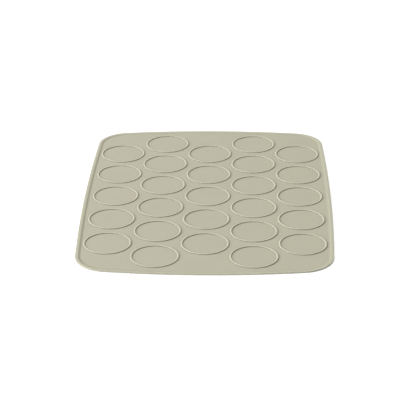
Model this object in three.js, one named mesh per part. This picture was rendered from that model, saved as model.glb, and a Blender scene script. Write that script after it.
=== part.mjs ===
// A silicone baking mat for macarons: a thin sheet with a raised bead round its edge
// and staggered columns of raised rings that show where to pipe and stop the batter.
// Millimetres, +Z up. The origin is the middle of the underside, +Y runs along the mat.
import * as THREE from "three";

// The rings. A ring's diameter is measured at its crest, its width across its foot.
const RING_DIAMETER = 50;
const RING_WIDTH = 2.8;
const RING_HEIGHT = 0.9;
const RING_GAP = 7.9;
const RINGS_PER_COLUMN = [5, 6, 5, 6, 5];

// The sheet that carries them.
const SHEET_THICKNESS = 0.6;
const LOWER_EDGE_ROUND = 0.2;

// The bead round the edge: a level crest, then a long slope down to the sheet.
const RIM_HEIGHT = 0.65;
const RIM_CREST_WIDTH = 2.4;
const RIM_SLOPE_WIDTH = 3.1;
const RIM_OUTER_ROUND = 0.2;
const RIM_INNER_ROUND = 3;

// The outline: four sides that bow outwards and four round corners.
const LONG_SIDE_RADIUS = 3300;
const SHORT_SIDE_RADIUS = 860;
const CORNER_RADIUS = 36;

// The least gap between the outermost rings and the foot of the bead.
const SIDE_CLEARANCE = 1.1;
const END_CLEARANCE = 7.5;

// How finely the curves are divided.
const RING_STEPS = 32;
const RIDGE_STEPS = 6;
const SIDE_STEPS = 8;
const CORNER_STEPS = 8;
const ROUND_STEPS = 3;

// The rings stand on a triangular grid, so each has six neighbours at the same distance.
const ringFootRadius = (RING_DIAMETER + RING_WIDTH) / 2;
const ringPitch = 2 * ringFootRadius + RING_GAP;
const columnPitch = ringPitch * Math.sin(Math.PI / 3);
const rimWidth = RIM_CREST_WIDTH + RIM_SLOPE_WIDTH;

// Where each ring stands, with its column and row counted from 1 at the left and the front.
function ringPlaces() {
  const middleColumn = (RINGS_PER_COLUMN.length - 1) / 2;
  return RINGS_PER_COLUMN.flatMap((count, column) =>
    Array.from({ length: count }, (_, row) => ({
      name: `piping_ring_c${column + 1}_r${row + 1}`,
      x: (column - middleColumn) * columnPitch,
      y: (row - (count - 1) / 2) * ringPitch,
    })),
  );
}

const places = ringPlaces();

// How far an arc of this radius has fallen back at this distance from its middle.
function fallBack(radius, distance) {
  return radius - Math.sqrt(radius ** 2 - distance ** 2);
}

// Half the mat's size one way: the ring that needs the most room, its clearance and the bead.
function halfExtent(along, across, sideRadius, clearance) {
  const reach = places.map((place) => Math.abs(place[along]) + fallBack(sideRadius, place[across]));
  return Math.max(...reach) + ringFootRadius + clearance + rimWidth;
}

const halfWidth = halfExtent("x", "y", LONG_SIDE_RADIUS, SIDE_CLEARANCE);
const halfLength = halfExtent("y", "x", SHORT_SIDE_RADIUS, END_CLEARANCE);

// The centres of the right side's arc, the rear side's arc and the arc that joins them.
// The joining arc touches both from inside, so its centre lies on two smaller circles.
const sideCentre = new THREE.Vector2(halfWidth - LONG_SIDE_RADIUS, 0);
const endCentre = new THREE.Vector2(0, halfLength - SHORT_SIDE_RADIUS);
const cornerCentre = meetingPoint(
  sideCentre,
  LONG_SIDE_RADIUS - CORNER_RADIUS,
  endCentre,
  SHORT_SIDE_RADIUS - CORNER_RADIUS,
);

// The point on the left of the line from a to b that lies at these distances from both.
function meetingPoint(a, fromA, b, fromB) {
  const towards = b.clone().sub(a);
  const span = towards.length();
  towards.normalize();
  const along = (fromA ** 2 - fromB ** 2 + span ** 2) / (2 * span);
  const across = Math.sqrt(fromA ** 2 - along ** 2);
  const leftwards = new THREE.Vector2(-towards.y, towards.x);
  return a.clone().addScaledVector(towards, along).addScaledVector(leftwards, across);
}

// The mat's outline moved inwards by inset, anticlockwise. Its arcs keep their centres.
function outlinePoints(inset) {
  const sideEnd = cornerCentre.clone().sub(sideCentre).angle();
  const endStart = cornerCentre.clone().sub(endCentre).angle();
  const arcs = [
    [sideCentre.x, 0, LONG_SIDE_RADIUS, -sideEnd, sideEnd, SIDE_STEPS],
    [cornerCentre.x, cornerCentre.y, CORNER_RADIUS, sideEnd, endStart, CORNER_STEPS],
    [0, endCentre.y, SHORT_SIDE_RADIUS, endStart, Math.PI - endStart, SIDE_STEPS],
    [-cornerCentre.x, cornerCentre.y, CORNER_RADIUS, Math.PI - endStart, Math.PI - sideEnd, CORNER_STEPS],
  ];
  const half = arcs.flatMap(([x, y, radius, from, to, steps]) =>
    new THREE.ArcCurve(x, y, radius - inset, from, to, false).getPoints(steps).slice(0, -1),
  );
  return [...half, ...half.map((point) => point.clone().negate())];
}

// The points of an arc in the plane of a section, as [across, up] pairs, both ends included.
function arcPoints(across, up, radius, from, to) {
  const points = new THREE.ArcCurve(across, up, radius, from, to, to < from).getPoints(ROUND_STEPS);
  return points.map((point) => [point.x, point.y]);
}

// Carries a section of [inset, height] points round the outline. A section with capped ends
// is a solid between its first and its last outline, and any other closes on itself.
function carryRound(section, capped) {
  const loops = section.map(([inset, height]) =>
    outlinePoints(inset).map((point) => new THREE.Vector3(point.x, point.y, height)),
  );
  const count = loops[0].length;
  const index = [];
  const bands = capped ? loops.length - 1 : loops.length;
  for (let band = 0; band < bands; band++) {
    const here = band * count;
    const above = ((band + 1) % loops.length) * count;
    for (let i = 0; i < count; i++) {
      const next = (i + 1) % count;
      index.push(here + i, here + next, above + next, here + i, above + next, above + i);
    }
  }
  if (capped) {
    const last = (loops.length - 1) * count;
    for (const [a, b, c] of THREE.ShapeUtils.triangulateShape(outlinePoints(0), [])) {
      index.push(a, c, b, last + a, last + b, last + c);
    }
  }
  const geometry = new THREE.BufferGeometry().setFromPoints(loops.flat()).setIndex(index);
  geometry.computeVertexNormals();
  return geometry;
}

function baseSheet() {
  const section = [
    ...arcPoints(LOWER_EDGE_ROUND, LOWER_EDGE_ROUND, LOWER_EDGE_ROUND, -Math.PI / 2, -Math.PI),
    [0, SHEET_THICKNESS],
  ];
  return carryRound(section, true);
}

// The bead stands on the sheet, flush with its edge.
function rimBead() {
  const top = SHEET_THICKNESS + RIM_HEIGHT;
  const slope = Math.atan2(RIM_HEIGHT, RIM_SLOPE_WIDTH);
  const section = [
    [0, SHEET_THICKNESS],
    ...arcPoints(RIM_OUTER_ROUND, top - RIM_OUTER_ROUND, RIM_OUTER_ROUND, Math.PI, Math.PI / 2),
    ...arcPoints(
      RIM_CREST_WIDTH - RIM_INNER_ROUND * Math.tan(slope / 2),
      top - RIM_INNER_ROUND,
      RIM_INNER_ROUND,
      Math.PI / 2,
      Math.PI / 2 - slope,
    ),
    [rimWidth, SHEET_THICKNESS],
  ];
  return carryRound(section, false);
}

// A ring is a low round ridge turned about its own axis, flat where it stands on the sheet.
function pipingRing() {
  const ridgeRadius = ((RING_WIDTH / 2) ** 2 + RING_HEIGHT ** 2) / (2 * RING_HEIGHT);
  const centreHeight = RING_HEIGHT - ridgeRadius;
  const foot = Math.asin(-centreHeight / ridgeRadius);
  const ridge = new THREE.ArcCurve(RING_DIAMETER / 2, centreHeight, ridgeRadius, foot, Math.PI - foot);
  const profile = ridge.getPoints(RIDGE_STEPS);
  profile.push(profile[0].clone());
  return new THREE.LatheGeometry(profile, RING_STEPS).rotateX(Math.PI / 2);
}

// Greige silicone, a little paler where the light catches the crests.
function silicone(color, roughness) {
  return new THREE.MeshStandardMaterial({ color, roughness, metalness: 0 });
}

function part(name, geometry, material) {
  const mesh = new THREE.Mesh(geometry, material);
  mesh.name = name;
  return mesh;
}

const mat = new THREE.Group();
mat.name = "baking_mat";
mat.add(part("base_sheet", baseSheet(), silicone(0xbdbaa7, 0.6)));
mat.add(part("rim_bead", rimBead(), silicone(0xc1bfae, 0.55)));

const ringMaterial = silicone(0xc4c2b0, 0.55);
for (const { name, x, y } of places) {
  const ring = part(name, pipingRing(), ringMaterial);
  ring.position.set(x, y, SHEET_THICKNESS);
  mat.add(ring);
}

export default mat;
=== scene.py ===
"""A silicone baking mat for macarons: a thin sheet, a raised bead round it and staggered rings."""
import math

import bpy
from mathutils import Matrix, Vector


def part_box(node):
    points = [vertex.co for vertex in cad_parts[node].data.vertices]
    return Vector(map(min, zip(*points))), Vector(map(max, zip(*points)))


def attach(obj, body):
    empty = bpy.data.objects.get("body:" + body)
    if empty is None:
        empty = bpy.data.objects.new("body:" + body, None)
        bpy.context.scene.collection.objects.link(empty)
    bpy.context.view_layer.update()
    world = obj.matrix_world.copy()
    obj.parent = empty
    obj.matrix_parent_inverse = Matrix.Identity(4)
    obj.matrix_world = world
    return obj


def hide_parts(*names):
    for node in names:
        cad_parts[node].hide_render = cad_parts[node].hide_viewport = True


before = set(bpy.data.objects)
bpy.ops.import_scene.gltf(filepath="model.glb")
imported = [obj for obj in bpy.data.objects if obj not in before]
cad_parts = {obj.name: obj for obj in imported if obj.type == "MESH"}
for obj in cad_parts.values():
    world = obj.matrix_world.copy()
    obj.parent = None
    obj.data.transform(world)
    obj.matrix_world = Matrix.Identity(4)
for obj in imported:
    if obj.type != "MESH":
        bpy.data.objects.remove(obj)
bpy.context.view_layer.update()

MM = 0.001

# The outline's arcs. Its reach and all heights come from the frame.
LONG_SIDE_RADIUS = 3300 * MM
SHORT_SIDE_RADIUS = 860 * MM
CORNER_RADIUS = 36 * MM

# The bead's and the rings' sections. Small rounds make the mat read as one moulding.
# The bead's slope runs out a little past its solid's foot, and a lip keeps each foot from
# thinning to nothing.
LOWER_EDGE_ROUND = 0.2 * MM
RIM_OUTER_ROUND = 0.2 * MM
RIM_CREST_WIDTH = 2.4 * MM
RIM_SLOPE_WIDTH = 3.6 * MM
RING_WIDTH = 2.8 * MM
RING_FOOT_ROUND = 0.6 * MM
FOOT_LIP = 0.003 * MM

# How finely the curves are divided.
LONG_SIDE_STEPS = 48
SHORT_SIDE_STEPS = 40
CORNER_STEPS = 32
RING_STEPS = 128
ROUND_STEPS = 6
CREST_STEPS = 14
SLOPE_STEPS = 12
SHARP_ANGLE = math.radians(40)

# The camera, fitted to the rings. It is aimed at the height of their crests over the mat's middle,
# then shifted across and along its own upright. Distances are in metres, lens and sensor in mm.
CAMERA_AZIMUTH = math.radians(1.757)
CAMERA_ELEVATION = math.radians(24.99)
CAMERA_ROLL = math.radians(-0.505)
CAMERA_DISTANCE = 1.811
CAMERA_SIDESTEP = -0.00857
CAMERA_RISE = -0.00511
CAMERA_LENS = 142.66
SENSOR_WIDTH = 36.0

# The light: a broad lamp at the back, another lower at the left, and a faint even surround.
# Their shares of the light on a level surface add up to about 1, so that a colour renders about
# as it is written.
BACK_SHARE = 0.59
BACK_AZIMUTH = math.radians(115)
BACK_ELEVATION = math.radians(50)
LEFT_SHARE = 0.21
LEFT_AZIMUTH = math.radians(195)
LEFT_ELEVATION = math.radians(20)
SURROUND_SHARE = 0.16
LAMP_DISTANCE = 16.0
LAMP_SIZE = 7.0

# The floor's own grey, and the glow that lifts it to white where it is seen.
FLOOR_GREY = 0.85
FLOOR_GLOW = 0.35
FLOOR_SIZE = 12.0

SHEET_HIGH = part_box("base_sheet")[1]
SHEET_TOP = SHEET_HIGH.z
RIM_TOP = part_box("rim_bead")[1].z
RING_NODES = sorted(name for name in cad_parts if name.startswith("piping_ring"))
RING_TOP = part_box(RING_NODES[0])[1].z

# Greige silicone, as a linear colour, with a weak sheen.
SILICONE = (0.509, 0.491, 0.371)
SILICONE_IOR = 1.41
SHEEN_LEVEL = 0.3

# Painted light and shade up a raised form: painted shade, deeper and warmer, at the foot, and a painted
# highlight, paler, along the crest.
# Each row is a share of a ring's height, a gain, and the gain of the blue channel.
RING_PAINTED_LIGHT = ((0.0, 1.0, 1.0), (0.03, 0.76, 0.71), (0.2, 0.85, 0.8), (0.6, 1.25, 1.28))
RIM_PAINTED_LIGHT = ((0.0, 1.0, 1.0), (0.06, 0.9, 0.87), (0.35, 0.9, 0.88), (0.8, 1.11, 1.12))

# The mat's upright edge is painted paler, a painted light. The tilts are the Z of a normal that counts as
# upright, and as level.
EDGE_PAINTED_LIGHT = 1.5
EDGE_TILTS = (0.5, 0.95)

# Painted shade deepens the corners where the sheet meets what stands on it. The painted shade is full at
# the first openness and gone at the second.
CORNER_PAINTED_SHADE = (0.4, 0.4, 0.36, 1.0)
CORNER_REACH = 5 * MM
CORNER_OPENNESS = (0.5, 1)

# Noise patterns over the mat, each as grains to the metre and layers of finer detail.
CLOUDS = (22, 3)
SPECKS = (1100, 2)
HANDLING = (55, 4)
PEEL = (260, 1)
GRAIN = (3200, 2)
NOISE_ROUGHNESS = 0.55

# The part of each pattern's range that is used, and what it is carried to. Clouds and handling
# share one.
CLOUD_RANGE = (0.3, 0.7)
SPECK_RANGE = (0.35, 0.65)
PLAIN_GAINS = (0.985, 1.015)
SPECK_GAINS = (1.005, 1.04)
ROUGHNESS = (0.42, 0.52)

# The reliefs: an easy unevenness and a fine matt grain, each as a strength and a depth.
PEEL_RELIEF = (0.25, 0.02 * MM)
GRAIN_RELIEF = (0.35, 0.012 * MM)

WHITE = (1, 1, 1, 1)
UNIT = (0, 1)

# The Mix node's colour sockets, by number, because its names repeat.
MIX_FIRST = 6
MIX_SECOND = 7
MIX_RESULT = 2


def scaled(colour, gain):
    """A colour made paler or deeper, with full opacity."""
    return (*[channel * gain for channel in colour], 1.0)


def grey(level):
    """An even grey with full opacity."""
    return (level, level, level, 1.0)


def meeting_point(a, from_a, b, from_b):
    """The point on the left of the line from a to b that lies at these distances from both."""
    towards = b - a
    span = towards.length
    towards = towards / span
    along = (from_a**2 - from_b**2 + span**2) / (2 * span)
    across = math.sqrt(from_a**2 - along**2)
    return a + towards * along + Vector((-towards.y, towards.x)) * across


def outline(inset):
    """The mat's outline moved inwards by inset, anticlockwise. Its arcs keep their centres."""
    side_centre = Vector((SHEET_HIGH.x - LONG_SIDE_RADIUS, 0))
    end_centre = Vector((0, SHEET_HIGH.y - SHORT_SIDE_RADIUS))
    corner = meeting_point(
        side_centre, LONG_SIDE_RADIUS - CORNER_RADIUS, end_centre, SHORT_SIDE_RADIUS - CORNER_RADIUS
    )
    far_corner = Vector((-corner.x, corner.y))
    side_end = math.atan2(corner.y, corner.x - side_centre.x)
    end_start = math.atan2(corner.y - end_centre.y, corner.x)
    arcs = [
        (side_centre, LONG_SIDE_RADIUS, -side_end, side_end, LONG_SIDE_STEPS),
        (corner, CORNER_RADIUS, side_end, end_start, CORNER_STEPS),
        (end_centre, SHORT_SIDE_RADIUS, end_start, math.pi - end_start, SHORT_SIDE_STEPS),
        (far_corner, CORNER_RADIUS, math.pi - end_start, math.pi - side_end, CORNER_STEPS),
    ]
    half = []
    for centre, radius, start, end, steps in arcs:
        for step in range(steps):
            angle = start + (end - start) * step / steps
            half.append(centre + (radius - inset) * Vector((math.cos(angle), math.sin(angle))))
    return half + [-point for point in half]


def arc(across, up, radius, start, end, steps=ROUND_STEPS):
    """The points of an arc in the plane of a section, both ends included."""
    angles = [start + (end - start) * step / steps for step in range(steps + 1)]
    return [(across + radius * math.cos(a), up + radius * math.sin(a)) for a in angles]


def new_piece(name, points, faces, material, node):
    """A smooth mesh piece with sharp corners that rides on the mat and stands for this node."""
    mesh = bpy.data.meshes.new(name)
    mesh.from_pydata(points, [], faces)
    mesh.polygons.foreach_set("use_smooth", [True] * len(mesh.polygons))
    mesh.set_sharp_from_angle(angle=SHARP_ANGLE)
    mesh.materials.append(material)
    piece = bpy.data.objects.new(name, mesh)
    bpy.context.scene.collection.objects.link(piece)
    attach(piece, "root")
    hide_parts(node)


def bands(loops, count, closed):
    """The quads between neighbouring loops of count points each."""
    faces = []
    for loop in range(loops if closed else loops - 1):
        here = loop * count
        above = (loop + 1) % loops * count
        for i in range(count):
            j = (i + 1) % count
            faces.append((here + i, here + j, above + j, above + i))
    return faces


def carry_round(section):
    """A section of (inset, height) pairs carried round the outline: all points, and the count in a loop."""
    loops = [[(p.x, p.y, height) for p in outline(inset)] for inset, height in section]
    return [point for loop in loops for point in loop], len(loops[0])


def make_sheet(material):
    """The web of the moulding, with a small round under its edge."""
    edge = LOWER_EDGE_ROUND
    section = arc(edge, edge, edge, -math.pi / 2, -math.pi) + [(0, SHEET_TOP)]
    points, count = carry_round(section)
    faces = bands(len(section), count, closed=False)
    faces.append(tuple(reversed(range(count))))
    faces.append(tuple(range(len(points) - count, len(points))))
    new_piece("sheet", points, faces, material, "base_sheet")


def make_rim(material):
    """The bead: a rounded shoulder, a level crest and an easy slope that runs out into the sheet."""
    drop = RIM_TOP - SHEET_TOP - FOOT_LIP
    slope = []
    for step in range(1, SLOPE_STEPS + 1):
        share = step / SLOPE_STEPS
        fall = (1 - math.cos(math.pi * share)) / 2
        slope.append((RIM_CREST_WIDTH + RIM_SLOPE_WIDTH * share, RIM_TOP - drop * fall))
    section = [
        (0, SHEET_TOP),
        *arc(RIM_OUTER_ROUND, RIM_TOP - RIM_OUTER_ROUND, RIM_OUTER_ROUND, math.pi, math.pi / 2),
        (RIM_CREST_WIDTH, RIM_TOP),
        *slope,
        (RIM_CREST_WIDTH + RIM_SLOPE_WIDTH, SHEET_TOP),
    ]
    points, count = carry_round(section)
    new_piece("rim", points, bands(len(section), count, closed=True), material, "rim_bead")


def ridge_section():
    """A ring's section: a low round ridge with a hollow round at each foot.

    Its points are (across, up) pairs, from the sheet below the ridge's crest.
    """
    height, foot = RING_TOP - SHEET_TOP, RING_FOOT_ROUND
    radius = ((RING_WIDTH / 2) ** 2 + height**2) / (2 * height)
    centre = height - radius
    reach = math.sqrt((radius + foot) ** 2 - (foot - centre) ** 2)
    meets = math.atan2(foot - centre, reach)
    round_right = arc(reach, foot, foot, 1.5 * math.pi, math.pi + meets)
    crest = arc(0, centre, radius, meets, math.pi - meets, CREST_STEPS)[1:-1]
    round_left = [(-across, up) for across, up in reversed(round_right)]
    lifted = [(across, max(up, FOOT_LIP)) for across, up in round_right + crest + round_left]
    return [(reach, 0), *lifted, (-reach, 0)]


def make_ring(node, section, material):
    """One raised ring, standing where its node stands."""
    low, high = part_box(node)
    middle = (low + high) / 2
    radius = (high.x - low.x - RING_WIDTH) / 2
    points = []
    for across, up in section:
        reach = radius + across
        for step in range(RING_STEPS):
            angle = 2 * math.pi * step / RING_STEPS
            x = middle.x + reach * math.cos(angle)
            y = middle.y + reach * math.sin(angle)
            points.append((x, y, SHEET_TOP + up))
    faces = bands(len(section), RING_STEPS, closed=True)
    new_piece(node.replace("piping_ring", "ring"), points, faces, material, node)


def feed(tree, socket, value):
    """Links a node's input to a socket, or sets it to a plain value."""
    if isinstance(value, bpy.types.NodeSocket):
        tree.links.new(value, socket)
    else:
        socket.default_value = value


def add_node(tree, kind, **inputs):
    """A shader node with its inputs fed by name. A low line stands for a space."""
    node = tree.nodes.new(kind)
    for name, value in inputs.items():
        feed(tree, node.inputs[name.replace("_", " ")], value)
    return node


def noise(tree, place, pattern):
    """Smooth noise over the mat."""
    scale, detail = pattern
    node = add_node(
        tree, "ShaderNodeTexNoise", Vector=place, Scale=scale, Detail=detail, Roughness=NOISE_ROUGHNESS
    )
    return node.outputs["Fac"]


def remap(tree, value, source, target=UNIT):
    """A value carried from one range to another, and held inside it."""
    node = add_node(
        tree,
        "ShaderNodeMapRange",
        Value=value,
        From_Min=source[0],
        From_Max=source[1],
        To_Min=target[0],
        To_Max=target[1],
    )
    return node.outputs["Result"]


def mix(tree, factor, first, second, kind="MIX"):
    """Two colours blended by a factor, in Blender's blend of this kind."""
    node = tree.nodes.new("ShaderNodeMix")
    node.data_type = "RGBA"
    node.blend_type = kind
    feed(tree, node.inputs["Factor"], factor)
    feed(tree, node.inputs[MIX_FIRST], first)
    feed(tree, node.inputs[MIX_SECOND], second)
    return node.outputs[MIX_RESULT]


def multiply(tree, first, second):
    """The product of two colours."""
    return mix(tree, 1, first, second, "MULTIPLY")


def upward_part(tree, vector):
    """The Z of a vector."""
    return add_node(tree, "ShaderNodeSeparateXYZ", Vector=vector).outputs["Z"]


def paint_light_by_height(tree, place, painted_tones, palest):
    """Painted shade at a raised form's foot and a painted highlight along its crest, by height, as a share
    of the palest.
    """
    share = remap(tree, upward_part(tree, place), (SHEET_TOP, RING_TOP))
    ramp = add_node(tree, "ShaderNodeValToRGB", Fac=share)
    stops = ramp.color_ramp.elements
    while len(stops) < len(painted_tones):
        stops.new(1)
    for stop, (position, gain, blue) in zip(stops, painted_tones):
        stop.position = position
        stop.color = scaled((gain, gain, blue), 1 / palest)
    return ramp.outputs["Color"]


def steepness(tree):
    """1 on the mat's upright edge, falling over its round shoulder to 0 on what lies flatter: the mask of
    the edge's painted light.
    """
    normal = tree.nodes.new("ShaderNodeNewGeometry").outputs["True Normal"]
    level = add_node(tree, "ShaderNodeMath", Value=upward_part(tree, normal))
    level.operation = "ABSOLUTE"
    return remap(tree, level.outputs["Value"], EDGE_TILTS, (1, 0))


def painted_corner_shade(tree):
    """Painted shade that deepens the corners between the sheet and what stands on it."""
    openness = add_node(tree, "ShaderNodeAmbientOcclusion", Distance=CORNER_REACH).outputs["AO"]
    return mix(tree, remap(tree, openness, CORNER_OPENNESS), CORNER_PAINTED_SHADE, WHITE)


def bump(tree, height, relief):
    """A node that shades a surface as if it had this fine relief."""
    strength, depth = relief
    return add_node(tree, "ShaderNodeBump", Height=height, Strength=strength, Distance=depth)


def silicone(name, painted_tones, edge_painted_light=None):
    """Satin moulded silicone: a faint cloudy tone, a fine matt grain and a soft sheen, with painted
    highlight and shade.
    """
    material = bpy.data.materials.new(name)
    material.use_nodes = True
    tree = material.node_tree
    shader = tree.nodes["Principled BSDF"]
    shader.inputs["IOR"].default_value = SILICONE_IOR
    shader.inputs["Specular IOR Level"].default_value = SHEEN_LEVEL
    place = tree.nodes.new("ShaderNodeTexCoord").outputs["Object"]

    # The ramp holds painted light and shade up to 1, so the colour under it is as pale as the palest
    # painted light.
    palest = max(edge_painted_light or 0, *[max(gains) for _, *gains in painted_tones])
    colour = [channel * palest for channel in SILICONE]
    clouds = remap(tree, noise(tree, place, CLOUDS), CLOUD_RANGE)
    specks = remap(tree, noise(tree, place, SPECKS), SPECK_RANGE)
    plain = mix(tree, clouds, *[scaled(colour, gain) for gain in PLAIN_GAINS])
    speckled = mix(tree, clouds, *[scaled(colour, gain) for gain in SPECK_GAINS])
    # Painted highlight along the crests, painted shade at the feet and in the corners.
    painted_shading = multiply(tree, paint_light_by_height(tree, place, painted_tones, palest), painted_corner_shade(tree))
    # Painted light on the upright edge.
    if edge_painted_light:
        painted_shading = mix(tree, steepness(tree), painted_shading, grey(edge_painted_light / palest))
    toned = multiply(tree, mix(tree, specks, plain, speckled), painted_shading)
    tree.links.new(toned, shader.inputs["Base Color"])

    handled = remap(tree, noise(tree, place, HANDLING), CLOUD_RANGE, ROUGHNESS)
    tree.links.new(handled, shader.inputs["Roughness"])

    peel = bump(tree, noise(tree, place, PEEL), PEEL_RELIEF)
    grain = bump(tree, noise(tree, place, GRAIN), GRAIN_RELIEF)
    tree.links.new(peel.outputs["Normal"], grain.inputs["Normal"])
    tree.links.new(grain.outputs["Normal"], shader.inputs["Normal"])
    return material


def floor_material():
    """A pale floor that shows white to the eye and keeps the mat's shadow."""
    material = bpy.data.materials.new("floor")
    material.use_nodes = True
    tree = material.node_tree
    tree.nodes.remove(tree.nodes["Principled BSDF"])
    matt = add_node(tree, "ShaderNodeBsdfDiffuse", Color=grey(FLOOR_GREY))
    rays = tree.nodes.new("ShaderNodeLightPath")
    seen = tree.nodes.new("ShaderNodeMath")
    seen.operation = "MAXIMUM"
    tree.links.new(rays.outputs["Is Camera Ray"], seen.inputs[0])
    tree.links.new(rays.outputs["Is Glossy Ray"], seen.inputs[1])
    strength = remap(tree, seen.outputs["Value"], UNIT, (0, FLOOR_GLOW))
    glow = add_node(tree, "ShaderNodeEmission", Color=WHITE, Strength=strength)
    both = tree.nodes.new("ShaderNodeAddShader")
    tree.links.new(matt.outputs["BSDF"], both.inputs[0])
    tree.links.new(glow.outputs["Emission"], both.inputs[1])
    tree.links.new(both.outputs["Shader"], tree.nodes["Material Output"].inputs["Surface"])
    return material


def make_floor():
    """A large level floor under the mat."""
    half = FLOOR_SIZE / 2
    corners = [(-half, -half, 0), (half, -half, 0), (half, half, 0), (-half, half, 0)]
    mesh = bpy.data.meshes.new("floor")
    mesh.from_pydata(corners, [], [(0, 1, 2, 3)])
    mesh.materials.append(floor_material())
    floor = bpy.data.objects.new("floor", mesh)
    bpy.context.scene.collection.objects.link(floor)


def direction(azimuth, elevation):
    """The unit vector towards a point of the sky. Azimuth 0 is +X, a quarter turn is +Y."""
    level = math.cos(elevation)
    return Vector((level * math.cos(azimuth), level * math.sin(azimuth), math.sin(elevation)))


def make_lamp(name, share, azimuth, elevation):
    """A round soft lamp that gives this share of the light on a level surface."""
    towards = direction(azimuth, elevation)
    lamp = bpy.data.lights.new(name, "AREA")
    lamp.shape = "DISK"
    lamp.size = LAMP_SIZE
    spread = LAMP_DISTANCE**2 + (LAMP_SIZE / 2) ** 2
    lamp.energy = share * math.pi**2 * spread / math.sin(elevation)
    holder = bpy.data.objects.new(name, lamp)
    holder.location = towards * LAMP_DISTANCE
    holder.rotation_euler = towards.to_track_quat("Z", "Y").to_euler()
    bpy.context.scene.collection.objects.link(holder)


def make_lights():
    """The lamps and the surround. The surround shows as plain white behind the floor."""
    make_lamp("back", BACK_SHARE, BACK_AZIMUTH, BACK_ELEVATION)
    make_lamp("left", LEFT_SHARE, LEFT_AZIMUTH, LEFT_ELEVATION)

    world = bpy.data.worlds.new("surround")
    bpy.context.scene.world = world
    world.use_nodes = True
    tree = world.node_tree
    rays = tree.nodes.new("ShaderNodeLightPath")
    strength = remap(tree, rays.outputs["Is Camera Ray"], UNIT, (SURROUND_SHARE, 1))
    background = tree.nodes["Background"]
    background.inputs["Color"].default_value = WHITE
    tree.links.new(strength, background.inputs["Strength"])


def make_camera():
    """The photograph's camera."""
    forward = -direction(CAMERA_AZIMUTH - math.pi / 2, CAMERA_ELEVATION)
    right = forward.cross(Vector((0, 0, 1))).normalized()
    up = right.cross(forward)
    turn_cos, turn_sin = math.cos(CAMERA_ROLL), math.sin(CAMERA_ROLL)
    across = right * turn_cos + up * turn_sin
    upwards = up * turn_cos - right * turn_sin
    place = Vector((0, 0, RING_TOP)) - forward * CAMERA_DISTANCE
    place += across * CAMERA_SIDESTEP + upwards * CAMERA_RISE
    lens = bpy.data.cameras.new("camera")
    lens.sensor_width = SENSOR_WIDTH
    lens.lens = CAMERA_LENS
    camera = bpy.data.objects.new("camera", lens)
    turn = Matrix((across, upwards, -forward)).transposed().to_4x4()
    camera.matrix_world = Matrix.Translation(place) @ turn
    bpy.context.scene.collection.objects.link(camera)
    bpy.context.scene.camera = camera


make_camera()
make_lights()
make_floor()

satin = silicone("silicone", RIM_PAINTED_LIGHT, EDGE_PAINTED_LIGHT)
make_sheet(satin)
make_rim(satin)
ring_satin = silicone("ring silicone", RING_PAINTED_LIGHT)
ring_section = ridge_section()
for ring_node in RING_NODES:
    make_ring(ring_node, ring_section, ring_satin)

bpy.context.scene.view_settings.view_transform = "Standard"
